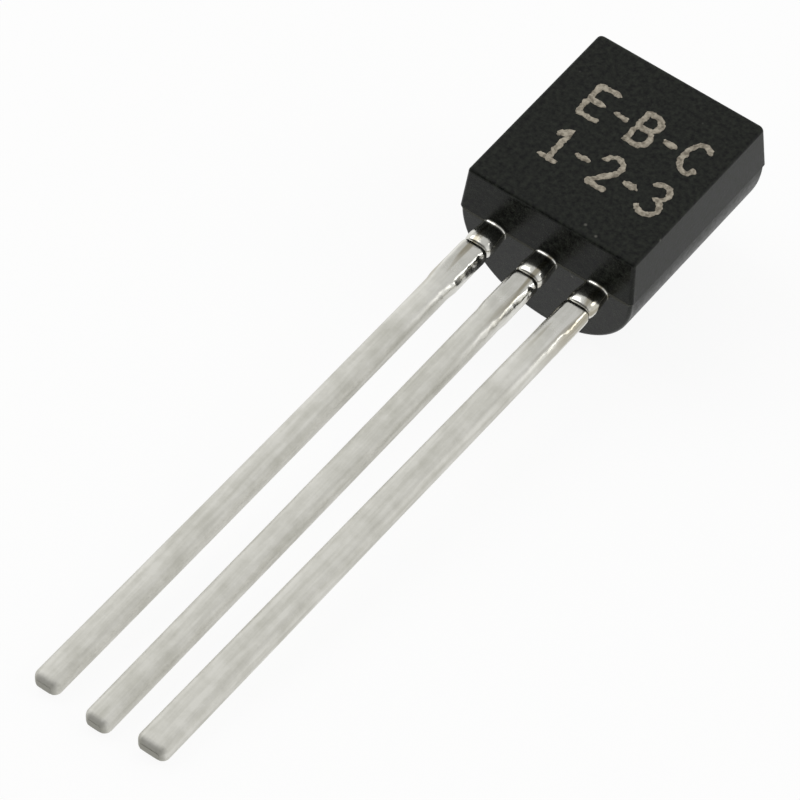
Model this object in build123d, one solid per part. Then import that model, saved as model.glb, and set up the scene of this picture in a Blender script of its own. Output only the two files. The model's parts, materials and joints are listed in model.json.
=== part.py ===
from build123d import *
import os
from math import asin, atan2, degrees, hypot, radians, tan

# A small through-hole transistor: a moulded case with a flat front and a round back, on three leads.
# All lengths are in millimetres and all angles in degrees.
# The pieces are modelled upright in a working frame: X runs across the flat face, Y runs up the case
# from the end where the leads come out, and Z is minus the depth behind the flat face.
# At the end they are tipped and set down together, as the loose part lies on a table.

# Moulded case
body_width = 4.30
body_height = 4.82
body_depth = 3.34
parting_depth = 1.15
parting_step = 0.015
draft_angle = 3.5
front_slope_angle = 6.0
edge_radius = 0.08
ejector_mark_diameter = 1.50
ejector_mark_depth = 0.15

# Leads outside the case
lead_pitch = 1.27
lead_length = 14.45
lead_width = 0.56
lead_thickness = 0.42
lead_front_depth = 1.04
lead_edge_radius = 0.15
lead_tip_radius = 0.14
shoulder_width = 0.60
shoulder_length = 2.00
shoulder_taper_length = 0.30

# Lead frame inside the case
lead_entry_height = 0.45
plate_corner_radius = 0.08
anchor_notch_radius = 0.11
anchor_notch_height = 0.68
frame_gap = 0.28
base_post_width = 0.80
base_post_height = 0.42
base_post_top = 1.40
emitter_post_width = 0.74
emitter_post_height = 0.85
flag_width = 1.90
flag_height = 1.55

# Chip and its bonding
die_side = 0.65
die_thickness = 0.22
die_bond_thickness = 0.03
die_bond_margin = 0.06
pad_offset = 0.14
wire_diameter = 0.05
wire_sides = 6
wire_loop_height = 0.26
wire_foot_height = 0.12
wire_bend_radius = 0.06
ball_diameter = 0.12
ball_height = 0.05
stitch_height = 0.02

# Places that follow from the sizes
lead_middle = -(lead_front_depth + lead_thickness / 2)
frame_front = -lead_front_depth
flag_bottom = base_post_top + frame_gap
flag_middle = (lead_pitch + (shoulder_width - flag_width) / 2, flag_bottom + flag_height / 2)
base_post_middle = (0, base_post_top - base_post_height / 2)
emitter_post_middle = (
    (emitter_post_width - shoulder_width) / 2 - lead_pitch,
    flag_bottom + emitter_post_height / 2,
)
die_back = frame_front + die_bond_thickness
die_front = die_back + die_thickness


def draft_rise(depth):
    """How far an end of the case has drawn in at a depth, either side of the parting line."""
    return abs(depth - parting_depth) * tan(radians(draft_angle))


# Moulded case
def front_half():
    """Front mould half: a tapered block, flat in front, with the sloped underside over the leads."""
    flat_bottom = parting_depth * tan(radians(front_slope_angle))
    flat_top = body_height - draft_rise(0)
    flat = Rectangle(body_width - 2 * draft_rise(0), flat_top - flat_bottom)
    opening = Rectangle(body_width, body_height)
    half = loft(
        [
            Pos(0, (flat_bottom + flat_top) / 2, 0) * flat,
            Pos(0, body_height / 2, -parting_depth) * opening,
        ],
        ruled=True,
    )
    return soften_outer_edges(half, lambda edge: edge.center().Z > -parting_depth)


def back_half():
    """Rear mould half: a round back with drafted ends, a hair smaller than the front half."""
    half_width = body_width / 2 - parting_step
    rise = parting_step + draft_rise(body_depth)
    arc = ThreePointArc((half_width, -parting_depth), (0, -body_depth), (-half_width, -parting_depth))
    plan = make_face(arc + Line((-half_width, -parting_depth), (half_width, -parting_depth)))
    side = make_face(
        Polyline(
            (parting_step, -parting_depth),
            (rise, -body_depth),
            (body_height - rise, -body_depth),
            (body_height - parting_step, -parting_depth),
            close=True,
        )
    )
    column = extrude(Plane.XZ * plan, amount=2 * body_height, both=True)
    slab = extrude(Plane.YZ * side, amount=body_width, both=True)
    return soften_outer_edges(column & slab, lambda edge: edge.center().Z < -parting_depth)


def soften_outer_edges(half, is_away_from_parting):
    """Round every edge of a mould half but those at its parting plane."""
    near = 1e-6
    edges = [
        edge
        for edge in half.edges()
        if is_away_from_parting(edge) and abs(edge.center().Z + parting_depth) > near
    ]
    return fillet(edges, edge_radius)


def ejector_mark():
    """The round land that the ejector pin leaves in the back."""
    floor = -(body_depth - ejector_mark_depth)
    return extrude(Pos(0, body_height / 2, floor) * Circle(ejector_mark_diameter / 2), amount=-body_depth)


def moulded_body(enclosed):
    """The case, with room for exactly what the resin was moulded round."""
    case = front_half() + back_half() - ejector_mark()
    for piece in enclosed:
        case = case - piece
    return case


# Leads
def blade_section(x, y, width):
    """A lead's rounded section at a height, facing down the lead."""
    plane = Plane(origin=(x, y, lead_middle), x_dir=(1, 0, 0), z_dir=(0, -1, 0))
    return plane * RectangleRounded(width, lead_thickness, lead_edge_radius)


def blade(x):
    """The part of a lead that shows: a wider shoulder at the case, a taper and the long strip."""
    shoulder_end = shoulder_taper_length - shoulder_length
    shoulder = extrude(blade_section(x, lead_entry_height, shoulder_width), lead_entry_height - shoulder_end)
    taper = loft(
        [
            blade_section(x, shoulder_end, shoulder_width),
            blade_section(x, -shoulder_length, lead_width),
        ]
    )
    strip = extrude(blade_section(x, -shoulder_length, lead_width), lead_length - shoulder_length)
    tip = strip.faces().sort_by(Axis.Y)[0]
    return shoulder + taper + fillet(tip.edges(), lead_tip_radius)


def inner_end(x, middle, width, height):
    """Inner end of a lead: a neck with two anchor notches, and a rounded plate at its top."""
    neck_height = middle[1] - lead_entry_height
    neck = Pos(x, lead_entry_height + neck_height / 2) * Rectangle(shoulder_width, neck_height)
    outline = neck + Pos(*middle) * RectangleRounded(width, height, plate_corner_radius)
    for side in (-1, 1):
        outline = outline - Pos(x + side * shoulder_width / 2, anchor_notch_height) * Circle(anchor_notch_radius)
    return extrude(Pos(0, 0, frame_front) * outline, amount=-lead_thickness)


def emitter_lead():
    """Left lead: its post stands beside the flag and takes the emitter wire."""
    plate = inner_end(-lead_pitch, emitter_post_middle, emitter_post_width, emitter_post_height)
    return blade(-lead_pitch) + plate


def base_lead():
    """Middle lead: a short neck with a cross head below the flag, which takes the base wire."""
    return blade(0) + inner_end(0, base_post_middle, base_post_width, base_post_height)


def collector_lead():
    """Right lead: it widens into the flag that carries the chip."""
    return blade(lead_pitch) + inner_end(lead_pitch, flag_middle, flag_width, flag_height)


# Chip and its bonding
def die_bond():
    """The thin layer that holds the chip to the flag and shows as a rim round it."""
    side = die_side + 2 * die_bond_margin
    layer = RectangleRounded(side, side, die_bond_margin)
    return extrude(Pos(*flag_middle, frame_front) * layer, amount=die_bond_thickness)


def silicon_die():
    """The chip, face to face with its bond layer."""
    return extrude(Pos(*flag_middle, die_back) * Rectangle(die_side, die_side), amount=die_thickness)


def bond_wire(pad, post):
    """A wire from a pad on the chip to a lead's post: ball, loop, and stitch on the post."""
    foot = Vector(pad[0], pad[1], die_front)
    landing = Vector(post[0], post[1], frame_front)
    crest = foot + Vector(0, 0, ball_height + wire_loop_height)
    heel = landing + Vector(0, 0, wire_foot_height)
    path = FilletPolyline(foot, crest, heel, landing, radius=wire_bend_radius)
    wire = sweep(Plane(foot) * RegularPolygon(wire_diameter / 2, wire_sides), path=path)
    ball = extrude(Plane(foot) * Circle(ball_diameter / 2), amount=ball_height)
    stitch = extrude(Plane(landing) * Circle(ball_diameter / 2), amount=stitch_height)
    return wire + ball + stitch


def emitter_bond_wire():
    """From the chip's left pad to the middle of the emitter's post."""
    pad = (flag_middle[0] - pad_offset, flag_middle[1] + pad_offset)
    return bond_wire(pad, emitter_post_middle)


def base_bond_wire():
    """From the chip's lower pad to the middle of the base's cross head."""
    pad = (flag_middle[0] + pad_offset, flag_middle[1] - pad_offset)
    return bond_wire(pad, base_post_middle)


# How the loose part lies
def resting_tilt():
    """Angle at which the heel of the round back and the tips of the leads share one floor."""
    heel_half_angle = radians(90 + draft_angle) / 2
    heel_height = parting_step + draft_rise(body_depth) + edge_radius / tan(heel_half_angle)
    heel_depth = body_depth - edge_radius
    tip_height = lead_tip_radius - lead_length
    tip_depth = lead_front_depth + lead_thickness - lead_tip_radius
    along = heel_height - tip_height
    down = heel_depth - tip_depth
    return degrees(atan2(down, along) + asin((edge_radius - lead_tip_radius) / hypot(along, down)))


def set_down(pieces):
    """Tip every piece by the resting angle and centre the whole on the floor at the origin."""
    tipped = {name: Rot(resting_tilt(), 0, 0) * piece for name, piece in pieces.items()}
    box = Compound(list(tipped.values())).bounding_box()
    middle = box.center()
    return {name: Pos(-middle.X, -middle.Y, -box.min.Z) * piece for name, piece in tipped.items()}


def build():
    """Every piece by name, where it lies on the table."""
    pieces = {
        "emitter_lead": emitter_lead(),
        "base_lead": base_lead(),
        "collector_lead": collector_lead(),
        "die_bond": die_bond(),
        "silicon_die": silicon_die(),
        "emitter_bond_wire": emitter_bond_wire(),
        "base_bond_wire": base_bond_wire(),
    }
    pieces["moulded_body"] = moulded_body(list(pieces.values()))
    return set_down(pieces)


os.makedirs("parts", exist_ok=True)
for node, piece in build().items():
    export_step(piece.solid(), f"parts/{node}.step")
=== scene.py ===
"""Looks of a small through-hole transistor: a black moulded case on three tinned leads."""

import json
import logging
from dataclasses import dataclass, field
from enum import Enum
from functools import partial
from math import atan2, cos, degrees, exp, pi, radians, sin, sqrt, tan, tanh
from typing import Callable

import bmesh
import bpy
from mathutils import Euler, Matrix, Vector


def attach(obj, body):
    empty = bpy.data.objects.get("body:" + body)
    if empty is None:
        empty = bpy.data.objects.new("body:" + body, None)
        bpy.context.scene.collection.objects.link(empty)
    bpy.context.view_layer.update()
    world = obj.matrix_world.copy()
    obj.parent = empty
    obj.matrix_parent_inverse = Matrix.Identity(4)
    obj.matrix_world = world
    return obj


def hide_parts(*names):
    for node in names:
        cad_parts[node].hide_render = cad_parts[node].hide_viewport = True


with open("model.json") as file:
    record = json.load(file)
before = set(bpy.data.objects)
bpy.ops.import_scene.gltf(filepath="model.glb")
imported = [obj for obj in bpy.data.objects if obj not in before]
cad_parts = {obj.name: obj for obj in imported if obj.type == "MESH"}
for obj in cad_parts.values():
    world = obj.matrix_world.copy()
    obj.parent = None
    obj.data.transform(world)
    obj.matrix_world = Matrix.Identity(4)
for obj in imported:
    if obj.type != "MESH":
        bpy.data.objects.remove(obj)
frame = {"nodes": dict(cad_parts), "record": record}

log = logging.getLogger("transistor")

# Metres in one millimetre: sizes below are in millimetres, in the upright pose of the part
MM = 0.001
# Points of a mesh closer than this, in millimetres, are one point
SAME_POINT = 1e-4
ROOT = "root"

Mesh = bpy.types.Mesh
Node = bpy.types.Node
Object = bpy.types.Object
Adder = Callable[..., Node]


def linear(hex_colour: str, alpha: float = 1.0) -> tuple[float, float, float, float]:
    """Turn an sRGB hex colour into the linear values that shaders take.

    Args:
        hex_colour: six hex digits, such as "c8c7c1".
        alpha: opacity.

    Returns:
        Linear red, green, blue and alpha.
    """
    channels = [int(hex_colour[i : i + 2], 16) / 255 for i in (0, 2, 4)]
    straight = [c / 12.92 if c <= 0.04045 else ((c + 0.055) / 1.055) ** 2.4 for c in channels]
    return (*straight, alpha)


def add_node(tree: bpy.types.NodeTree, kind: str, inputs: dict = None, **settings: object) -> Node:
    """Add a node with its settings and links.

    Args:
        tree: node tree that gets the node.
        kind: the node's type name, without ShaderNode or GeometryNode before it.
        inputs: input name or number to a value, or to what feeds it: an output socket, or a node,
            whose first output does.
        settings: attributes of the node to set.

    Returns:
        The new node.
    """
    families = ("ShaderNode", "GeometryNode", "")
    node = tree.nodes.new(next(f + kind for f in families if hasattr(bpy.types, f + kind)))
    for name, value in settings.items():
        setattr(node, name, value)
    for name, value in (inputs or {}).items():
        if isinstance(value, Node):
            value = value.outputs[0]
        if isinstance(value, bpy.types.NodeSocket):
            tree.links.new(value, node.inputs[name])
        else:
            node.inputs[name].default_value = value
    return node


def span(edges: tuple, to: tuple = (0.0, 1.0)) -> dict:
    """Give the inputs that map one span of values to another."""
    return {"From Min": edges[0], "From Max": edges[1], "To Min": to[0], "To Max": to[1]}


def evenly(first: float, last: float, steps: int) -> list[float]:
    """Give evenly spaced values from the first to the last."""
    return [first + (last - first) * step / steps for step in range(steps + 1)]


class Slot(Enum):
    """Material slot names of the record; nothing in the script uses them."""

    COMPOUND = "moulding_compound"
    LEAD = "tinned_lead"


@dataclass
class Seat:
    """Where the upright part lies in the row's frame, read from the record's mounts."""

    lead_middle_depth: float = 1.25
    tilt: float = field(init=False)
    matrix: Matrix = field(init=False)

    def __post_init__(self) -> None:
        """Work out the tilt and the placing from the flat's normal and the leads' exit."""
        mounts = {mount["name"]: mount for mount in frame["record"]["mounts"]}
        normal = mounts["marked_flat"]["axis"]
        self.tilt = atan2(-normal[1], normal[2])
        turn = Matrix.Rotation(self.tilt, 4, "X")
        exit_point = Vector(mounts["lead_exit"]["pos_m"])
        shift = exit_point - turn @ Vector((0, 0, -self.lead_middle_depth * MM))
        self.matrix = Matrix.Translation(shift) @ turn @ Matrix.Scale(MM, 4)

    def upright_millimetres(self, add: Adder) -> Node:
        """Give a material the upright pose's coordinates, in millimetres.

        Args:
            add: adds a node to the material.

        Returns:
            A node that gives them: X across the flat, Y up the case, Z out of the flat.
        """
        back = self.matrix.inverted()
        return add(
            "Mapping",
            {
                "Vector": add("TexCoord").outputs["Object"],
                "Location": back.to_translation(),
                "Rotation": back.to_euler(),
                "Scale": back.to_scale(),
            },
        )


@dataclass(frozen=True)
class Finish:
    """A finish of the real part, which becomes one material."""

    name: str
    relief_depth_mm: float = field(default=0.002, kw_only=True)

    def material(self, seat: Seat) -> bpy.types.Material:
        """Build the material.

        Args:
            seat: placing of the part, which gives the patterns their coordinates.

        Returns:
            The material.
        """
        material = bpy.data.materials.new(self.name)
        material.use_nodes = True
        material.node_tree.nodes.clear()
        add = partial(add_node, material.node_tree)
        look, relief = self.surface(add, seat.upright_millimetres(add))
        bump = add("Bump", {**relief, "Distance": self.relief_depth_mm * MM})
        add("OutputMaterial", {"Surface": add("BsdfPrincipled", {**look, "Normal": bump})})
        return material

    def surface(self, add: Adder, place: Node) -> tuple[dict, dict]:
        """Lay out the finish's patterns.

        Args:
            add: adds a node to the material.
            place: gives the upright coordinates, in millimetres.

        Returns:
            The shader's inputs, and the relief's height and strength.
        """
        raise NotImplementedError


@dataclass(frozen=True)
class MouldedEpoxy(Finish):
    """Novolac moulding compound: transfer-moulded black epoxy full of fused silica.

    The tool's spark-eroded walls leave the flat and the sides satin and faintly mottled, and its
    polished ends leave the underside shiny enough to mirror the leads.
    """

    name: str = "moulded_epoxy"
    resin: str = "060707"
    silica_rich: str = "272a24"
    broken_flash: str = "55554f"
    # Painted shade: near-black colour of the seam groove up the sides, standing in for the shadow
    # in the recess
    groove_painted_shade: str = "020202"
    speck: str = "6e6d66"
    ior: float = 1.55
    specular: float = 0.12
    matte_roughness: float = 0.48
    satin_roughness: float = 0.30
    polished_roughness: float = 0.16
    mottle_roughness: float = 0.16
    torn_roughness: float = 0.90
    mottle_mm: float = 0.11
    mottle_edges: tuple = (0.35, 0.68)
    speck_mm: float = 0.35
    speck_level: float = 0.86
    speck_edges: tuple = (0.13, 0.05)
    speck_strength: float = 0.55
    grain_mm: float = 0.045
    grain_strength: float = 0.70
    polished_grain: float = 0.20
    relief_depth_mm: float = 0.006
    flat_z_mm: float = -0.03
    underside_top_mm: float = 0.14
    parting_z_mm: float = -1.15
    parting_half_width_mm: float = 0.036

    def surface(self, add: Adder, place: Node) -> tuple[dict, dict]:
        """Lay out the finish's patterns.

        Args:
            add: adds a node to the material.
            place: gives the upright coordinates, in millimetres.

        Returns:
            The shader's inputs, and the relief's height and strength.
        """
        # Blotches of more and less silica, a little lighter and darker
        mottle = add(
            "TexNoise",
            {"Vector": place, "Scale": 1 / self.mottle_mm, "Detail": 4.0, "Roughness": 0.65},
        )
        blotch = add("MapRange", {"Value": mottle, **span(self.mottle_edges)})
        colour = add(
            "Mix", {0: blotch, 6: linear(self.resin), 7: linear(self.silica_rich)}, data_type="RGBA"
        )

        # Rare pale specks, where a grain of filler breaks the surface
        cells = add("TexVoronoi", {"Vector": place, "Scale": 1 / self.speck_mm})
        chosen = add("SeparateColor", {"Color": cells.outputs["Color"]})
        rare = add(
            "Math", {0: chosen.outputs["Red"], 1: self.speck_level}, operation="GREATER_THAN"
        )
        dot = add(
            "MapRange", {"Value": cells, **span(self.speck_edges, (0.0, self.speck_strength))}
        )
        speck = add("Math", {0: rare, 1: dot}, operation="MULTIPLY")
        speckled = add(
            "Mix", {0: speck, 6: colour.outputs[2], 7: linear(self.speck)}, data_type="RGBA"
        )

        # The flat is the dullest, and the underside came off a polished face of the tool
        parts = add("SeparateXYZ", {"Vector": place})
        flat = add("Math", {0: parts.outputs["Z"], 1: self.flat_z_mm}, operation="GREATER_THAN")
        off_flat = add(
            "MapRange",
            {"Value": flat, "To Min": self.satin_roughness, "To Max": self.matte_roughness},
        )
        polish = add(
            "Math", {0: parts.outputs["Y"], 1: self.underside_top_mm}, operation="LESS_THAN"
        )
        base_roughness = add("Mix", {0: polish, 2: off_flat, 3: self.polished_roughness})
        roughness = add(
            "Math",
            {0: blotch, 1: self.mottle_roughness, 2: base_roughness},
            operation="MULTIPLY_ADD",
            use_clamp=True,
        )

        # The parting line: broken flash shows pale below, and the groove up the sides is painted
        # near black, a painted shade for the shadow that falls in the recess
        parting = add(
            "Math",
            {0: parts.outputs["Z"], 1: self.parting_z_mm, 2: self.parting_half_width_mm},
            operation="COMPARE",
        )
        line_tone = add(
            "Mix",
            {0: polish, 6: linear(self.groove_painted_shade), 7: linear(self.broken_flash)},
            data_type="RGBA",
        )
        lined = add(
            "Mix", {0: parting, 6: speckled.outputs[2], 7: line_tone.outputs[2]}, data_type="RGBA"
        )
        torn = add("Mix", {0: parting, 2: roughness, 3: self.torn_roughness})

        # Spark-eroded grain of the tool, drawn about two pixels coarse so that it shows
        grain = add(
            "TexNoise",
            {"Vector": place, "Scale": 1 / self.grain_mm, "Detail": 2.0, "Roughness": 0.6},
        )
        strength = add(
            "MapRange",
            {"Value": polish, "To Min": self.grain_strength, "To Max": self.polished_grain},
        )
        look = {
            "Base Color": lined.outputs[2],
            "Roughness": torn,
            "IOR": self.ior,
            "Specular IOR Level": self.specular,
        }
        return look, {"Height": grain, "Strength": strength}


@dataclass(frozen=True)
class DippedTin(Finish):
    """Hot-dipped tin over a stamped copper strip.

    It is bright where it ran thin beside the case, and matte grey and streaked where it is thick.
    """

    name: str = "dipped_tin"
    tin: str = "dddcd6"
    tarnish: str = "cac9c1"
    stain: str = "8f8770"
    cut_metal: str = "a6a59d"
    frosted_roughness: float = 0.66
    near_roughness: float = 0.12
    bright_roughness: float = 0.11
    streak_roughness: float = 0.06
    dip_line_edges: tuple = (-0.69, -0.62)
    streak_mm: float = 0.12
    streak_length: float = 14.0
    cloud_mm: float = 0.55
    tarnish_edges: tuple = (0.80, 1.26)
    stains_per_mm: float = 4.5
    stain_edges: tuple = (0.53, 0.62)
    stain_strength: float = 0.75
    stained_heights: tuple = (-2.6, -1.2)
    smooth_heights: tuple = (-3.4, -1.0)
    frost_mm: float = 0.03
    relief_strength: float = 0.25
    relief_depth_mm: float = 0.004

    def surface(self, add: Adder, place: Node) -> tuple[dict, dict]:
        """Lay out the finish's patterns.

        Args:
            add: adds a node to the material.
            place: gives the upright coordinates, in millimetres.

        Returns:
            The shader's inputs, and the relief's height and strength.
        """
        height = add("SeparateXYZ", {"Vector": place}).outputs["Y"]

        # Streaks along the lead, from rolling and from the melt running down
        stretched = add(
            "VectorMath", {0: place, 1: (1.0, 1 / self.streak_length, 1.0)}, operation="MULTIPLY"
        )
        streaks = add("TexNoise", {"Vector": stretched, "Scale": 1 / self.streak_mm, "Detail": 3.0})
        clouds = add(
            "TexNoise",
            {"Vector": place, "Scale": 1 / self.cloud_mm, "Detail": 4.0, "Roughness": 0.7},
        )
        patches = add("Math", {0: clouds, 1: streaks}, operation="ADD")
        tarnished = add("MapRange", {"Value": patches, **span(self.tarnish_edges)})
        colour = add(
            "Mix", {0: tarnished, 6: linear(self.tin), 7: linear(self.tarnish)}, data_type="RGBA"
        )

        # Flux stain in small runs beside the case
        near_case = add("MapRange", {"Value": height, **span(self.stained_heights)})
        runs = add("TexNoise", {"Vector": stretched, "Scale": self.stains_per_mm, "Detail": 2.0})
        run_shape = add(
            "MapRange", {"Value": runs, **span(self.stain_edges, (0.0, self.stain_strength))}
        )
        stain = add("Math", {0: near_case, 1: run_shape}, operation="MULTIPLY")
        stained = add(
            "Mix", {0: stain, 6: colour.outputs[2], 7: linear(self.stain)}, data_type="RGBA"
        )

        # The sheared tip shows duller and darker metal
        tip = add("Attribute", attribute_name="sheared")
        finished = add(
            "Mix",
            {0: tip.outputs["Fac"], 6: stained.outputs[2], 7: linear(self.cut_metal)},
            data_type="RGBA",
        )

        # Bright between the case and the dip line, then smooth, and frosted farther down
        smoothing = (self.frosted_roughness, self.near_roughness)
        frosted = add("MapRange", {"Value": height, **span(self.smooth_heights, smoothing)})
        bare = add("MapRange", {"Value": height, **span(self.dip_line_edges)})
        polished = add("Mix", {0: bare, 2: frosted, 3: self.bright_roughness})
        roughness = add(
            "Math",
            {0: streaks, 1: self.streak_roughness, 2: polished},
            operation="MULTIPLY_ADD",
            use_clamp=True,
        )
        frost = add(
            "TexNoise",
            {"Vector": place, "Scale": 1 / self.frost_mm, "Detail": 2.0, "Roughness": 0.7},
        )
        relief = add("Math", {0: frost, 1: streaks}, operation="ADD")
        look = {"Base Color": finished.outputs[2], "Metallic": 1.0, "Roughness": roughness}
        return look, {"Height": relief, "Strength": self.relief_strength}


@dataclass(frozen=True)
class LaserMark(Finish):
    """Laser-frothed resin: the beam leaves a dry, warm grey crust on the flat."""

    name: str = "laser_mark"
    crust: str = "b3ab9b"
    thin_crust: str = "736c60"
    crumb_mm: float = 0.12
    crust_edges: tuple = (0.36, 0.62)
    roughness: float = 0.85
    specular: float = 0.2
    relief_strength: float = 0.4
    relief_depth_mm: float = 0.005

    def surface(self, add: Adder, place: Node) -> tuple[dict, dict]:
        """Lay out the finish's patterns.

        Args:
            add: adds a node to the material.
            place: gives the upright coordinates, in millimetres.

        Returns:
            The shader's inputs, and the relief's height and strength.
        """
        crumbs = add(
            "TexNoise",
            {"Vector": place, "Scale": 1 / self.crumb_mm, "Detail": 3.0, "Roughness": 0.7},
        )
        thickness = add("MapRange", {"Value": crumbs, **span(self.crust_edges)})
        colour = add(
            "Mix",
            {0: thickness, 6: linear(self.thin_crust), 7: linear(self.crust)},
            data_type="RGBA",
        )
        look = {
            "Base Color": colour.outputs[2],
            "Roughness": self.roughness,
            "Specular IOR Level": self.specular,
        }
        return look, {"Height": crumbs, "Strength": self.relief_strength}


@dataclass(frozen=True)
class SealedMetal(Finish):
    """Finish of a small piece sealed in the case, with the faint grain that its making leaves."""

    name: str
    tone: str
    worn_tone: str
    metallic: float
    roughness: float
    grain_mm: float
    relief_strength: float = 0.2

    def surface(self, add: Adder, place: Node) -> tuple[dict, dict]:
        """Lay out the finish's patterns.

        Args:
            add: adds a node to the material.
            place: gives the upright coordinates, in millimetres.

        Returns:
            The shader's inputs, and the relief's height and strength.
        """
        grain = add("TexNoise", {"Vector": place, "Scale": 1 / self.grain_mm, "Detail": 3.0})
        colour = add(
            "Mix", {0: grain, 6: linear(self.tone), 7: linear(self.worn_tone)}, data_type="RGBA"
        )
        look = {
            "Base Color": colour.outputs[2],
            "Metallic": self.metallic,
            "Roughness": self.roughness,
        }
        return look, {"Height": grain, "Strength": self.relief_strength}


def new_piece(name: str, mesh: Mesh) -> Object:
    """Put a mesh in the scene as an object at the origin.

    Args:
        name: the piece's name.
        mesh: its mesh.

    Returns:
        The object.
    """
    piece = bpy.data.objects.new(name, mesh)
    bpy.context.scene.collection.objects.link(piece)
    return piece


def settle_modifiers(piece: Object) -> None:
    """Turn a piece's evaluated shape into its plain mesh and remove its modifiers.

    Args:
        piece: the piece.
    """
    bpy.context.view_layer.update()
    evaluated = piece.evaluated_get(bpy.context.evaluated_depsgraph_get())
    mesh = bpy.data.meshes.new_from_object(evaluated)
    mesh.name = piece.name
    piece.modifiers.clear()
    piece.data = mesh


def dress(piece: Object, seat: Seat, material: bpy.types.Material) -> None:
    """Set a finished upright piece down in the row's frame and give it its material.

    Args:
        piece: the piece.
        seat: placing of the part.
        material: its material.
    """
    piece.data.transform(seat.matrix)
    piece.data.materials.clear()
    piece.data.materials.append(material)


def grow(piece: Object, tree: bpy.types.NodeTree, values: dict) -> None:
    """Run a Geometry Nodes tree on a piece and keep the result as its plain mesh.

    Args:
        piece: object that the tree starts from.
        tree: the tree.
        values: name of each input to its value.
    """
    modifier = piece.modifiers.new(tree.name, "NODES")
    modifier.node_group = tree
    for item in tree.interface.items_tree:
        if item.name in values:
            modifier[item.identifier] = values[item.name]
    settle_modifiers(piece)


def new_tree(name: str, inputs: dict[str, str]) -> bpy.types.NodeTree:
    """Start a Geometry Nodes tree that takes a shape and gives one back.

    Args:
        name: the tree's name.
        inputs: name of each further input to its kind, such as Float.

    Returns:
        The tree, without nodes.
    """
    tree = bpy.data.node_groups.new(name, "GeometryNodeTree")
    for label, kind in {"Geometry": "Geometry", **inputs}.items():
        tree.interface.new_socket(name=label, in_out="INPUT", socket_type=f"NodeSocket{kind}")
    tree.interface.new_socket(name="Geometry", in_out="OUTPUT", socket_type="NodeSocketGeometry")
    return tree


def shade_by_angle(piece: Object, angle: float) -> None:
    """Shade a piece smooth, sharp past an angle in degrees, with flat faces kept flat.

    Args:
        piece: the piece.
        angle: the angle.
    """
    piece.data.shade_smooth()
    piece.data.set_sharp_from_angle(angle=radians(angle))
    weighted = piece.modifiers.new("weighted", "WEIGHTED_NORMAL")
    weighted.keep_sharp = True
    settle_modifiers(piece)


@dataclass(frozen=True)
class PlanPoint:
    """A point of the case's plan and the outward direction there."""

    x: float
    z: float
    out_x: float
    out_z: float

    def inset(self, distance: float) -> tuple[float, float]:
        """Give the point moved inwards by a distance."""
        return self.x - distance * self.out_x, self.z - distance * self.out_z


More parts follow.
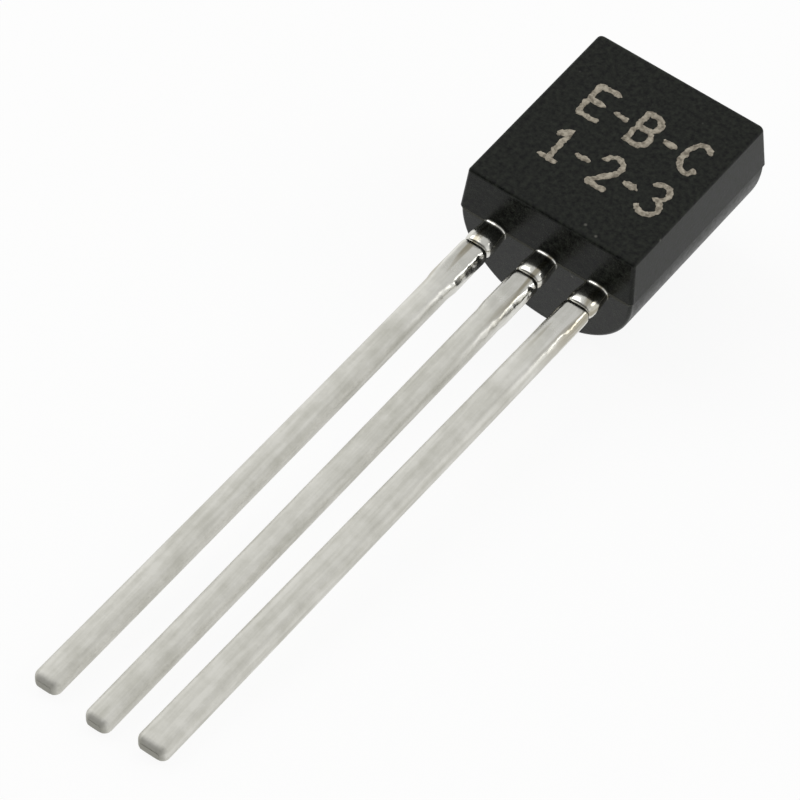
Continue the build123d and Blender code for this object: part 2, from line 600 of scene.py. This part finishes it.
@dataclass
class MouldedCase:
    """The black case: a drafted front half, a round back half and the seam between them."""

    width: float = 4.34
    height: float = 4.82
    depth: float = 3.34
    parting_depth: float = 1.15
    parting_step: float = 0.015
    side_step: float = 0.035
    draft: float = 3.5
    side_draft: float = 4.5
    front_slope: float = 6.0
    edge_radius: float = 0.08
    top_corner_radius: float = 0.12
    edge_steps: int = 6
    end_steps: int = 12
    arc_steps: int = 96
    seam_half_width: float = 0.034
    seam_depth: float = 0.080
    flash_height: float = 0.022
    ejector_radius: float = 0.75
    ejector_depth: float = 0.15
    sharp_angle: float = 30

    def plan(self) -> list[PlanPoint]:
        """Draw the plan once round, from the right seam over the flat to the left and back.

        Returns:
            Front points first, from the right lip of the seam to the left one, then the left
            seam, the round back and the right seam.
        """
        half = self.width / 2
        lean = radians(self.side_draft)
        radius = self.edge_radius
        corner_x = half - (radius + sin(lean) * (self.parting_depth - radius)) / cos(lean)
        corner = [
            PlanPoint(corner_x + radius * cos(a), radius * sin(a) - radius, cos(a), sin(a))
            for a in evenly(lean, pi / 2, self.edge_steps)
        ]
        lip_x = half - self.seam_half_width * tan(lean)
        lip = PlanPoint(lip_x, self.seam_half_width - self.parting_depth, cos(lean), sin(lean))
        right_front = [lip, *corner]
        floor = PlanPoint(half - self.seam_depth, -self.parting_depth, 1, 0)

        back_half_width = half - self.side_step
        sagitta = self.depth - self.parting_depth
        back_radius = (back_half_width**2 + sagitta**2) / (2 * sagitta)
        middle_z = back_radius - self.depth
        first = atan2(-self.parting_depth - self.seam_half_width - middle_z, back_half_width)
        back = [
            PlanPoint(back_radius * cos(a), middle_z + back_radius * sin(a), cos(a), sin(a))
            for a in evenly(-pi - first, first, self.arc_steps)
        ]
        left_front = [PlanPoint(-p.x, p.z, -p.out_x, p.out_z) for p in reversed(right_front)]
        left_floor = PlanPoint(-floor.x, floor.z, -1, 0)
        self.front_count = 2 * len(right_front)
        return [*right_front, *left_front, left_floor, *back, floor]

    def end_rise(self, z: float, slope: float) -> float:
        """How far an end of the case has drawn in at a depth.

        Args:
            z: minus the depth behind the flat.
            slope: the end's slope before the parting plane, in degrees.

        Returns:
            The distance from the case's full height, in millimetres.
        """
        behind = -z - self.parting_depth
        if abs(behind) < self.seam_half_width / 2:
            return -self.flash_height
        if behind < 0:
            return -behind * tan(radians(slope))
        return self.parting_step + behind * tan(radians(self.draft))

    def shell(self) -> Mesh:
        """Stack the plan in rings up the case and close the ends.

        Returns:
            The upright mesh, in millimetres.
        """
        plan = self.plan()
        mesh = bmesh.new()
        rings = []
        turns = evenly(0, pi / 2, self.end_steps)
        for angle in turns:
            lift = self.edge_radius * (1 - cos(angle))
            rings.append(self.ring(mesh, plan, lift, is_top=False))
        for angle in reversed(turns):
            lift = self.top_corner_radius * (1 - cos(angle))
            rings.append(self.ring(mesh, plan, lift, is_top=True))
        for lower, upper in zip(rings, rings[1:]):
            for i in range(len(plan)):
                j = (i + 1) % len(plan)
                mesh.faces.new((lower[i], lower[j], upper[j], upper[i]))
        for ring in (rings[0], rings[-1]):
            self.close_end(mesh, ring)
        bmesh.ops.remove_doubles(mesh, verts=mesh.verts, dist=SAME_POINT)
        bmesh.ops.recalc_face_normals(mesh, faces=mesh.faces)
        result = bpy.data.meshes.new("moulded_case")
        mesh.to_mesh(result)
        mesh.free()
        return result

    def ring(self, mesh: bmesh.types.BMesh, plan: list, lift: float, is_top: bool) -> list:
        """Add the plan's points at one step of an end's rounding.

        Args:
            mesh: mesh that gets the points.
            plan: the plan's points.
            lift: distance from the end's own plane.
            is_top: whether this is the upper end, whose outline has rounder corners.

        Returns:
            The new vertices, in the plan's order.
        """
        ring = []
        slack = max(self.edge_radius - lift, 0)
        inset = self.edge_radius - sqrt(self.edge_radius**2 - slack**2)
        corner_slack = max(self.top_corner_radius - lift, 0) if is_top else 0
        corner = self.top_corner_radius - sqrt(self.top_corner_radius**2 - corner_slack**2)
        for point in plan:
            x, z = point.inset(inset)
            x *= 1 - corner / (self.width / 2)
            level = point.z if abs(point.z + self.parting_depth) < SAME_POINT else z
            if is_top:
                y = self.height - self.end_rise(level, self.draft) - lift
            else:
                y = self.end_rise(level, self.front_slope) + lift
            ring.append(mesh.verts.new((x, y, z)))
        return ring

    def close_end(self, mesh: bmesh.types.BMesh, ring: list) -> None:
        """Close an end: the front part, the seam's two walls and the back part.

        Args:
            mesh: mesh that gets the faces.
            ring: the end's vertices, in the plan's order.
        """
        front = ring[: self.front_count]
        left_floor = ring[self.front_count]
        back = ring[self.front_count + 1 : -1]
        right_floor = ring[-1]
        mesh.faces.new(front)
        mesh.faces.new((front[0], front[-1], left_floor, right_floor))
        mesh.faces.new((right_floor, left_floor, back[0], back[-1]))
        mesh.faces.new(back)

    def press_ejector_mark(self, case: Object) -> None:
        """Sink the round land of the ejector pin into the back.

        Args:
            case: the case's object.
        """
        cutter_mesh = bmesh.new()
        floor = self.ejector_depth - self.depth
        reach = 4 * self.ejector_depth
        bmesh.ops.create_cone(
            cutter_mesh,
            cap_ends=True,
            segments=self.arc_steps,
            radius1=self.ejector_radius,
            radius2=self.ejector_radius,
            depth=reach,
            matrix=Matrix.Translation((0, self.height / 2, floor - reach / 2)),
        )
        data = bpy.data.meshes.new("ejector_pin")
        cutter_mesh.to_mesh(data)
        cutter_mesh.free()
        pin = new_piece("ejector_pin", data)
        cut = case.modifiers.new("ejector", "BOOLEAN")
        cut.operation = "DIFFERENCE"
        cut.solver = "EXACT"
        cut.object = pin
        settle_modifiers(case)
        bpy.data.objects.remove(pin)

    def build(self, seat: Seat, finish: MouldedEpoxy) -> Object:
        """Make, place and dress the case.

        Args:
            seat: placing of the part.
            finish: the moulding compound.

        Returns:
            The case's object.
        """
        case = new_piece("moulded_case", self.shell())
        self.press_ejector_mark(case)
        shade_by_angle(case, self.sharp_angle)
        dress(case, seat, finish.material(seat))
        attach(case, ROOT)
        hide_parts("moulded_body")
        return case


@dataclass
class Lead:
    """A stamped and dipped lead: a wider shoulder at the case, then a long straight strip."""

    node: str
    x: float
    seed: int
    length: float = 14.45
    width: float = 0.56
    tip_width: float = 0.57
    tip_drift: float = -0.06
    drift_power: float = 1.5
    thickness: float = 0.42
    corner_radius: float = 0.13
    shoulder_width: float = 0.60
    shoulder_length: float = 2.00
    taper_length: float = 0.30
    middle_depth: float = 1.25
    sunk_length: float = 0.20
    dip_line: float = 0.64
    bare_inset: float = 0.02
    neck_depth: float = 0.05
    collar_height: float = 0.03
    bead_depth: float = 0.07
    coat_lip: float = 0.05
    bare_dome: float = 0.05
    tinned_dome: float = 0.015
    tip_radius: float = 0.19
    neck_share: float = 0.7
    neck_power: float = 1.5
    collar_fade: float = 0.03
    bead_fill: float = 0.98
    bead_power: int = 6
    lip_fade: float = 0.035
    dome_fade: float = 0.02
    dip_reach: float = 0.15
    lumpy_length: float = 3.6
    steps: tuple = (0.008, 0.02, 0.05)
    sharp_angle: float = 40

    def stations(self) -> list[float]:
        """Heights down the lead where its section is set, closer where the shape changes.

        Returns:
            The heights, in millimetres, from inside the case to the tip.
        """
        marks = [self.sunk_length, 0.0]
        height = 0.0
        while height > -self.length:
            near_dip = abs(height + self.dip_line) < self.dip_reach
            near_tip = height < -self.length + self.tip_radius
            near_shoulder = height > -self.lumpy_length
            height -= self.steps[0 if near_dip or near_tip else 1 if near_shoulder else 2]
            marks.append(max(height, -self.length))
        return marks

    def half_width_change(self, height: float) -> float:
        """How much wider each side is than the strip by the shoulder, at a height.

        Args:
            height: height above the case's underside, in millimetres.

        Returns:
            The distance, in millimetres.
        """
        below = -height - (self.shoulder_length - self.taper_length)
        share = min(max(below / self.taper_length, 0), 1)
        smooth = share * share * (3 - 2 * share)
        by_shoulder = (self.shoulder_width - self.width) / 2 * (1 - smooth)
        by_tip = (self.tip_width - self.width) / 2 * max(-height, 0) / self.length
        return by_shoulder + by_tip

    def dome(self, height: float) -> float:
        """How far the middles of the faces bulge, at a height.

        Args:
            height: height above the case's underside, in millimetres.

        Returns:
            The distance, in millimetres.
        """
        past_dip = (-height - self.dip_line) / self.dome_fade
        bare = (1 - tanh(past_dip / 2)) / 2
        return self.tinned_dome + (self.bare_dome - self.tinned_dome) * bare

    def drift(self, height: float) -> float:
        """How far the lead has strayed sideways, at a height."""
        return self.tip_drift * (max(-height, 0) / self.length) ** self.drift_power

    def inset(self, height: float) -> float:
        """How far the surface lies inside the full section, at a height.

        Args:
            height: height above the case's underside, in millimetres.

        Returns:
            The distance, in millimetres.
        """
        below = -height
        if below < self.dip_line:
            share = max(below, 0) / self.dip_line
            neck = self.neck_depth * (1 - min(share / self.neck_share, 1)) ** self.neck_power
            collar = self.collar_height * exp(-max(below, 0) / self.collar_fade)
            bead = self.bead_depth * (1 - sqrt(1 - self.bead_fill * share**self.bead_power))
            return self.bare_inset + neck - collar + bead
        start_of_coat = self.coat_lip * exp((self.dip_line - below) / self.lip_fade)
        from_tip = min(height + self.length, self.tip_radius)
        slack = self.tip_radius - from_tip
        return start_of_coat + self.tip_radius - sqrt(max(self.tip_radius**2 - slack**2, 0))

    def sheared(self, height: float) -> float:
        """How much of the cut's bare metal shows, at a height."""
        return min(max(1 - (height + self.length) / (self.tip_radius / 2), 0), 1)

    def guide(self) -> Object:
        """Make the lead's centre line, with the section's changes stored at its points.

        Returns:
            An object with a chain of edges.
        """
        heights = self.stations()
        data = bpy.data.meshes.new(self.node)
        chain = [(i, i + 1) for i in range(len(heights) - 1)]
        data.from_pydata([(0, height, 0) for height in heights], chain, [])
        changes = {
            "widen": self.half_width_change,
            "inset": self.inset,
            "dome": self.dome,
            "drift": self.drift,
            "sheared": self.sheared,
        }
        for name, change in changes.items():
            stored = data.attributes.new(name, "FLOAT", "POINT")
            stored.data.foreach_set("value", [change(height) for height in heights])
        return new_piece(f"{self.node}_tinned", data)

    def inner_end(self, seat: Seat) -> bmesh.types.BMesh:
        """Copy the part of the lead's solid that the case encloses.

        Args:
            seat: placing of the part.

        Returns:
            The upright mesh of the inner end, in millimetres, closed where it was cut.
        """
        mesh = bmesh.new()
        mesh.from_mesh(frame["nodes"][self.node].data)
        mesh.transform(seat.matrix.inverted())
        bmesh.ops.remove_doubles(mesh, verts=mesh.verts, dist=SAME_POINT)
        cut = bmesh.ops.bisect_plane(
            mesh,
            geom=[*mesh.verts, *mesh.edges, *mesh.faces],
            plane_co=(0, self.sunk_length / 2, 0),
            plane_no=(0, -1, 0),
            clear_outer=True,
        )
        rim = [item for item in cut["geom_cut"] if isinstance(item, bmesh.types.BMEdge)]
        bmesh.ops.holes_fill(mesh, edges=rim)
        return mesh

    def build(self, seat: Seat, tree: bpy.types.NodeTree, tin: bpy.types.Material) -> Object:
        """Sweep, place and dress the lead.

        Args:
            seat: placing of the part.
            tree: the Geometry Nodes tree that sweeps a lead.
            tin: the leads' material.

        Returns:
            The lead's object.
        """
        lead = self.guide()
        values = {
            "Width": self.width,
            "Thickness": self.thickness,
            "Corner Radius": self.corner_radius,
            "Tin": tin,
            "Seed": self.seed,
        }
        grow(lead, tree, values)
        mesh = bmesh.new()
        mesh.from_mesh(lead.data)
        bmesh.ops.recalc_face_normals(mesh, faces=mesh.faces)
        mesh.transform(Matrix.Translation((self.x, 0, -self.middle_depth)))
        inner = bpy.data.meshes.new("inner_end")
        inner_mesh = self.inner_end(seat)
        inner_mesh.to_mesh(inner)
        inner_mesh.free()
        mesh.from_mesh(inner)
        bpy.data.meshes.remove(inner)
        mesh.to_mesh(lead.data)
        mesh.free()
        shade_by_angle(lead, self.sharp_angle)
        dress(lead, seat, tin)
        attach(lead, ROOT)
        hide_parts(self.node)
        return lead


@dataclass
class LeadSweep:
    """The Geometry Nodes tree that sweeps a rounded section down a lead's centre line."""

    corner_points: int = 6
    section_points: int = 64
    seed_step: float = 7.31
    wander: float = 0.003
    wander_mm: float = 2.4
    burr_height: float = 0.024
    burr_mm: float = 0.28
    burr_level: float = 0.55
    burr_elsewhere: float = 0.10
    front_depths: tuple = (-0.02, 0.14)
    fading_heights: tuple = (-3.6, -1.8)
    starting_heights: tuple = (-0.66, -0.76)

    def __post_init__(self) -> None:
        """Start the tree with the nodes that several of its branches read."""
        sizes = ("Width", "Thickness", "Corner Radius")
        inputs = {**dict.fromkeys(sizes, "Float"), "Seed": "Int", "Tin": "Material"}
        self.node_tree = new_tree("lead_sweep", inputs)
        self.add = add = partial(add_node, self.node_tree)
        self.given = given = add("NodeGroupInput").outputs
        self.place = add("InputPosition")
        self.stored = {
            name: add("InputNamedAttribute", {"Name": name})
            for name in ("widen", "drift", "dome", "inset")
        }
        self.half_width, self.half_thickness = [
            add("Math", {0: given[name], 1: 0.5}, operation="MULTIPLY")
            for name in ("Width", "Thickness")
        ]
        self.face_edge = add(
            "Math", {0: self.half_width, 1: given["Corner Radius"]}, operation="SUBTRACT"
        )
        seed = add("Math", {0: given["Seed"], 1: self.seed_step}, operation="MULTIPLY")
        self.seeded = add("VectorMath", {0: self.place, 1: seed}, operation="ADD")

    def tree(self) -> bpy.types.NodeTree:
        """Join the branches.

        Returns:
            The node tree, with inputs for the section's sizes, the material and the seed.
        """
        add = self.add
        domed = add("VectorMath", {0: self.sideways(), 1: self.bulge()}, operation="ADD")
        outwards = add("Math", {0: self.burr(), 1: self.stored["inset"]}, operation="SUBTRACT")
        level_normal = add(
            "VectorMath", {0: add("InputNormal"), 1: (1.0, 0.0, 1.0)}, operation="MULTIPLY"
        )
        along_normal = add("VectorMath", {0: level_normal, "Scale": outwards}, operation="SCALE")
        offset = add("VectorMath", {0: domed, 1: along_normal}, operation="ADD")
        shaped = add("SetPosition", {"Geometry": self.blade(), "Offset": offset})
        real = add("RealizeInstances", {"Geometry": shaped})
        tin = self.given["Tin"]
        dressed = add("SetMaterial", {"Geometry": real, "Material": tin})
        add("NodeGroupOutput", {0: dressed})
        return self.node_tree

    def blade(self) -> Node:
        """Sweep the plain strip: a rectangle with rounded corners, fine enough for the burr.

        Returns:
            The node that gives the strip.
        """
        add, given = self.add, self.given
        box = add(
            "CurvePrimitiveQuadrilateral", {"Width": given["Width"], "Height": given["Thickness"]}
        )
        rounded = add(
            "FilletCurve",
            {"Curve": box, "Count": self.corner_points, "Radius": given["Corner Radius"]},
            mode="POLY",
        )
        section = add("ResampleCurve", {"Curve": rounded, "Count": self.section_points})
        line = add("MeshToCurve", {"Mesh": given["Geometry"]})
        upright = add("SetCurveNormal", {"Curve": line}, mode="Z_UP")
        return add("CurveToMesh", {"Curve": upright, "Profile Curve": section, "Fill Caps": True})

    def sideways(self) -> Node:
        """Widen the shoulder, each side whole with the faces stretched between, and stray.

        Returns:
            The node that gives the shift.
        """
        add = self.add
        x = add("SeparateXYZ", {"Vector": self.place}).outputs["X"]
        left = add("Math", {0: self.face_edge, 1: -1.0}, operation="MULTIPLY")
        share = add("MapRange", {"Value": x, **span((left, self.face_edge), (-1.0, 1.0))})
        widening = add("Math", {0: share, 1: self.stored["widen"]}, operation="MULTIPLY")
        bow = add("TexNoise", {"Vector": self.seeded, "Scale": 1 / self.wander_mm, "Detail": 1.0})
        centred = add("Math", {0: bow, 1: 0.5}, operation="SUBTRACT")
        sway = add("Math", {0: centred, 1: 2 * self.wander, 2: widening}, operation="MULTIPLY_ADD")
        strayed = add("Math", {0: sway, 1: self.stored["drift"]}, operation="ADD")
        return add("CombineXYZ", {"X": strayed})

    def bulge(self) -> Node:
        """Dome the faces, where the melt drew itself round: most at the middle of each.

        Returns:
            The node that gives the shift.
        """
        add = self.add
        halves = add("CombineXYZ", {"X": self.half_width, "Y": 1.0, "Z": self.half_thickness})
        reach = add("VectorMath", {0: self.place, 1: halves}, operation="DIVIDE")
        squared = add("VectorMath", {0: reach, 1: reach}, operation="MULTIPLY")
        squares = add("SeparateXYZ", {"Vector": squared}).outputs
        crossed = add("CombineXYZ", {"X": squares["Z"], "Y": 1.0, "Z": squares["X"]})
        fall_off = add("VectorMath", {0: (1.0, 1.0, 1.0), 1: crossed}, operation="SUBTRACT")
        pillow = add("VectorMath", {0: reach, 1: fall_off}, operation="MULTIPLY")
        return add("VectorMath", {0: pillow, "Scale": self.stored["dome"]}, operation="SCALE")

    def burr(self) -> Node:
        """Raise lumps of tin and torn metal past the dip line, most on the front right edge.

        Returns:
            The node that gives the lumps' height.
        """
        add = self.add
        x, y, z = add("SeparateXYZ", {"Vector": self.place}).outputs
        spans = (
            (x, (self.face_edge, self.half_width)),
            (z, self.front_depths),
            (y, self.fading_heights),
            (y, self.starting_heights),
        )
        on_edge, in_front, by_shoulder, past_dip = [
            add("MapRange", {"Value": value, **span(edges)}, interpolation_type="SMOOTHSTEP")
            for value, edges in spans
        ]
        edge = add("Math", {0: on_edge, 1: in_front}, operation="MULTIPLY")
        edge_share = add("MapRange", {"Value": edge, "To Min": self.burr_elsewhere})
        zone = add("Math", {0: by_shoulder, 1: past_dip}, operation="MULTIPLY")
        burr_place = add("Math", {0: edge_share, 1: zone}, operation="MULTIPLY")
        lumps = add("TexNoise", {"Vector": self.seeded, "Scale": 1 / self.burr_mm, "Detail": 1.0})
        centred = add("Math", {0: lumps, 1: self.burr_level}, operation="SUBTRACT")
        height = add("Math", {0: centred, 1: 4 * self.burr_height}, operation="MULTIPLY")
        return add("Math", {0: height, 1: burr_place}, operation="MULTIPLY")


def arc(middle: tuple, radii: tuple, first: float, last: float, steps: int = 14) -> list[tuple]:
    """Draw an elliptic arc.

    Args:
        middle: its centre.
        radii: its two radii.
        first: start angle in degrees.
        last: end angle in degrees.
        steps: number of chords.

    Returns:
        Points along the arc.
    """
    angles = [radians(angle) for angle in evenly(first, last, steps)]
    return [(middle[0] + radii[0] * cos(a), middle[1] + radii[1] * sin(a)) for a in angles]


class Glyph(Enum):
    """Marks of the pin legend, as strokes in a cell one high and half as wide."""

    E = (((0.5, 0), (0, 0), (0, 1), (0.5, 1)), ((0, 0.5), (0.4, 0.5)))
    B = (
        ((0, 0), (0, 1), *arc((0.25, 0.76), (0.22, 0.24), 90, -90), (0, 0.52)),
        (*arc((0.25, 0.26), (0.25, 0.26), 90, -90), (0, 0)),
    )
    C = (tuple(arc((0.28, 0.5), (0.28, 0.5), 48, 312, 24)),)
    ONE = (((0.08, 0.78), (0.28, 1), (0.28, 0)), ((0.08, 0), (0.48, 0)))
    TWO = ((*arc((0.25, 0.72), (0.25, 0.28), 165, -38), (0, 0), (0.5, 0)),)
    THREE = (
        (*arc((0.22, 0.76), (0.24, 0.24), 140, -90), *arc((0.22, 0.26), (0.28, 0.26), 90, -140)),
    )
    DASH = (((0.12, 0.5), (0.38, 0.5)),)


@dataclass
class PinLegend:
    """A generic pin legend, laser-marked on the flat: the lead's letters over their numbers."""

    glyph_height: float = 0.86
    glyph_pitch: float = 0.60
    middle_x: float = 0.20
    stroke_width: float = 0.135
    stroke_height: float = 0.010
    stroke_step: float = 0.04
    ring_points: int = 14
    ragged: float = 0.13
    ragged_mm: float = 0.10
    rows: tuple = (
        (3.16, (Glyph.E, Glyph.DASH, Glyph.B, Glyph.DASH, Glyph.C)),
        (1.78, (Glyph.ONE, Glyph.DASH, Glyph.TWO, Glyph.DASH, Glyph.THREE)),
    )

    def strokes(self) -> Object:
        """Lay out the legend's strokes as chains of edges on the flat, upright.

        Returns:
            An object with a chain of edges for each stroke.
        """
        points = []
        edges = []
        for middle_y, glyphs in self.rows:
            left = self.middle_x - (len(glyphs) - 1) / 2 * self.glyph_pitch
            for index, glyph in enumerate(glyphs):
                start_x = left + index * self.glyph_pitch - self.glyph_height / 4
                start_y = middle_y - self.glyph_height / 2
                for stroke in glyph.value:
                    first = len(points)
                    for x, y in stroke:
                        across, up = x * self.glyph_height, y * self.glyph_height
                        points.append((start_x + across, start_y + up, 0))
                    edges += [(i, i + 1) for i in range(first, len(points) - 1)]
        data = bpy.data.meshes.new("pin_legend")
        data.from_pydata(points, edges, [])
        return new_piece("pin_legend", data)

    def tree(self) -> bpy.types.NodeTree:
        """Build the Geometry Nodes tree that turns a stroke into a low ridge with round ends.

        Returns:
            The node tree.
        """
        inputs = {"Stroke Width": "Float", "Stroke Height": "Float", "Mark": "Material"}
        tree = new_tree("laser_stroke", inputs)
        add = partial(add_node, tree)
        given = add("NodeGroupInput").outputs
        radius = add("Math", {0: given["Stroke Width"], 1: 0.5}, operation="MULTIPLY")
        line = add("MeshToCurve", {"Mesh": given["Geometry"]})
        ring = add("CurvePrimitiveCircle", {"Resolution": self.ring_points, "Radius": radius})
        fine = add("ResampleCurve", {"Curve": line, "Length": self.stroke_step}, mode="LENGTH")
        tube = add("CurveToMesh", {"Curve": fine, "Profile Curve": ring, "Fill Caps": True})
        ends = add("CurveEndpointSelection")
        ball = add("MeshIcoSphere", {"Radius": radius, "Subdivisions": 3})
        caps = add("InstanceOnPoints", {"Points": line, "Selection": ends, "Instance": ball})
        both = add("JoinGeometry", {0: tube})
        tree.links.new(caps.outputs[0], both.inputs[0])
        real = add("RealizeInstances", {"Geometry": both})
        squash = add("Math", {0: given["Stroke Height"], 1: radius}, operation="DIVIDE")
        scale = add("CombineXYZ", {"X": 1.0, "Y": 1.0, "Z": squash})
        flat = add("Transform", {"Geometry": real, "Scale": scale})

        # The froth's ragged edges
        place = add("InputPosition")
        crumbs = add("TexNoise", {"Vector": place, "Scale": 1 / self.ragged_mm, "Detail": 1.0})
        centred = add(
            "VectorMath", {0: crumbs.outputs["Color"], 1: (0.5, 0.5, 0.5)}, operation="SUBTRACT"
        )
        sideways = add(
            "VectorMath", {0: centred, 1: (self.ragged, self.ragged, 0.0)}, operation="MULTIPLY"
        )
        uneven = add("SetPosition", {"Geometry": flat, "Offset": sideways})
        dressed = add("SetMaterial", {"Geometry": uneven, "Material": given["Mark"]})
        add("NodeGroupOutput", {0: dressed})
        return tree

    def build(self, seat: Seat, finish: LaserMark) -> Object:
        """Make, place and dress the legend.

        Args:
            seat: placing of the part.
            finish: the laser's crust.

        Returns:
            The legend's object.
        """
        legend = self.strokes()
        mark = finish.material(seat)
        values = {
            "Stroke Width": self.stroke_width,
            "Stroke Height": self.stroke_height,
            "Mark": mark,
        }
        grow(legend, self.tree(), values)
        legend.data.shade_smooth()
        dress(legend, seat, mark)
        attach(legend, ROOT)
        return legend


@dataclass
class SealedPieces:
    """What the case encloses: the chip, its bond layer and its two wires, kept as their solids."""

    silicon: SealedMetal = SealedMetal("polished_silicon", "3a3d45", "4a4e58", 0.6, 0.12, 0.08)
    solder: SealedMetal = SealedMetal("die_bond_solder", "9a9a98", "84847f", 1.0, 0.45, 0.05)
    gold: SealedMetal = SealedMetal("drawn_gold", "f0c460", "d8a848", 1.0, 0.22, 0.02)

    def dress(self, seat: Seat) -> None:
        """Give each sealed solid its finish.

        Args:
            seat: placing of the part.
        """
        finishes = {
            "silicon_die": self.silicon,
            "die_bond": self.solder,
            "emitter_bond_wire": self.gold,
            "base_bond_wire": self.gold,
        }
        made = {}
        for node, finish in finishes.items():
            if finish.name not in made:
                made[finish.name] = finish.material(seat)
            data = frame["nodes"][node].data
            data.materials.clear()
            data.materials.append(made[finish.name])
            log.info("dressed %s with %s", node, finish.name)


@dataclass(frozen=True)
class SoftLamp:
    """A square soft lamp: where it hangs, the point it faces and its side, in millimetres."""

    name: str
    place: tuple
    aim: tuple
    size: float
    radiance: float

    def hang(self) -> None:
        """Hang the lamp, so bright that its face has its radiance, where 1 is white."""
        data = bpy.data.lights.new(self.name, "AREA")
        data.shape = "SQUARE"
        data.size = self.size * MM
        data.energy = self.radiance * pi * data.size**2
        lamp = bpy.data.objects.new(self.name, data)
        bpy.context.scene.collection.objects.link(lamp)
        lamp.location = Vector(self.place) * MM
        heading = (Vector(self.aim) - Vector(self.place)).to_track_quat("-Z", "Y")
        lamp.rotation_euler = heading.to_euler()


@dataclass
class Studio:
    """A plain white table, a soft sky and the camera."""

    table_half_width: float = 900 * MM
    table_white: str = "f4f4f2"
    table_glow: float = 0.91
    zenith: float = 0.70
    horizon: float = 1.15
    sky_band: tuple = (0.05, 0.85)
    behind_camera: float = 0.15
    dark_band: tuple = (-0.75, -0.15)
    lamps: tuple = (
        SoftLamp("key_softbox", (-80, -10, 105), (0, 2, 0), 90, 1.7),
        SoftLamp("edge_lamp", (80, 55, 75), (0, 3, 2), 42, 2.6),
    )
    camera_place: tuple = (40.856, -69.452, 85.871)
    camera_turn: tuple = (43.3988, -5.6744, 36.5264)
    lens: float = 263.4
    sensor: float = 36.0
    camera_shift: tuple = (0.0021, 0.0025)
    farthest: float = 10.0

    def table(self) -> Object:
        """Make the table, which shows white and keeps the part's soft shadow.

        Returns:
            The table's object.
        """
        reach = self.table_half_width
        data = bpy.data.meshes.new("table")
        corners = [(-reach, -reach, 0), (reach, -reach, 0), (reach, reach, 0), (-reach, reach, 0)]
        data.from_pydata(corners, [], [(0, 1, 2, 3)])
        table = new_piece("table", data)
        material = bpy.data.materials.new("white_paper")
        material.use_nodes = True
        material.node_tree.nodes.clear()
        add = partial(add_node, material.node_tree)
        paper = add("BsdfDiffuse", {"Color": linear(self.table_white)})
        glow = add("Emission")
        ray = add("LightPath").outputs
        seen = add("Math", {0: ray["Is Camera Ray"], 1: ray["Is Glossy Ray"]}, operation="MAXIMUM")
        share = add("Math", {0: seen, 1: self.table_glow}, operation="MULTIPLY")
        mixed = add("MixShader", {0: share, 1: paper, 2: glow})
        add("OutputMaterial", {"Surface": mixed})
        data.materials.append(material)
        return table

    def sky(self) -> None:
        """Light from all round: white at the horizon, greyer overhead, dark behind the camera."""
        world = bpy.data.worlds.new("soft_sky")
        bpy.context.scene.world = world
        world.use_nodes = True
        world.node_tree.nodes.clear()
        add = partial(add_node, world.node_tree)
        aim = add("TexCoord").outputs["Generated"]
        parts = add("SeparateXYZ", {"Vector": aim})
        level = add(
            "MapRange",
            {"Value": parts.outputs["Z"], **span(self.sky_band, (self.horizon, self.zenith))},
            interpolation_type="SMOOTHSTEP",
        )
        dark_side = add(
            "MapRange",
            {"Value": parts.outputs["Y"], **span(self.dark_band, (self.behind_camera, 1.0))},
            interpolation_type="SMOOTHSTEP",
        )
        shaded = add("Math", {0: level, 1: dark_side}, operation="MULTIPLY")
        ray = add("LightPath").outputs
        strength = add("Math", {0: ray["Is Camera Ray"], 1: shaded}, operation="MAXIMUM")
        light = add("Background", {"Color": (1, 1, 1, 1), "Strength": strength})
        add("OutputWorld", {"Surface": light})

    def camera(self) -> None:
        """Set the camera at the photograph's viewing angle."""
        data = bpy.data.cameras.new("camera")
        data.lens = self.lens
        data.sensor_width = self.sensor
        data.shift_x, data.shift_y = self.camera_shift
        data.clip_start = MM
        data.clip_end = self.farthest
        camera = bpy.data.objects.new("camera", data)
        bpy.context.scene.collection.objects.link(camera)
        camera.location = Vector(self.camera_place) * MM
        camera.rotation_euler = Euler([radians(a) for a in self.camera_turn])
        bpy.context.scene.camera = camera

    def build(self) -> None:
        """Set up the table, the light and the camera."""
        self.table()
        self.sky()
        for lamp in self.lamps:
            lamp.hang()
        self.camera()
        bpy.context.scene.view_settings.view_transform = "Standard"


def main() -> None:
    """Build the pieces in order and report each."""
    logging.basicConfig(level=logging.INFO, format="%(name)s: %(message)s")
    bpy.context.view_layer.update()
    seat = Seat()
    log.info("the part lies tipped by %.2f degrees", degrees(seat.tilt))
    case = MouldedCase().build(seat, MouldedEpoxy())
    log.info("case: %d faces", len(case.data.polygons))
    tin = DippedTin().material(seat)
    sweep = LeadSweep().tree()
    leads = (
        Lead("emitter_lead", -1.27, 3, width=0.54, tip_width=0.585, tip_drift=-0.129),
        Lead("base_lead", 0.015, 11, length=14.56, tip_width=0.56, tip_drift=-0.087),
        Lead(
            "collector_lead",
            1.30,
            19,
            length=14.38,
            width=0.59,
            tip_width=0.70,
            tip_drift=-0.17,
            drift_power=1.0,
        ),
    )
    for lead in leads:
        piece = lead.build(seat, sweep, tin)
        log.info("%s: %d faces", piece.name, len(piece.data.polygons))
    legend = PinLegend().build(seat, LaserMark())
    log.info("legend: %d faces", len(legend.data.polygons))
    SealedPieces().dress(seat)
    Studio().build()


if __name__ == "__main__":
    main()
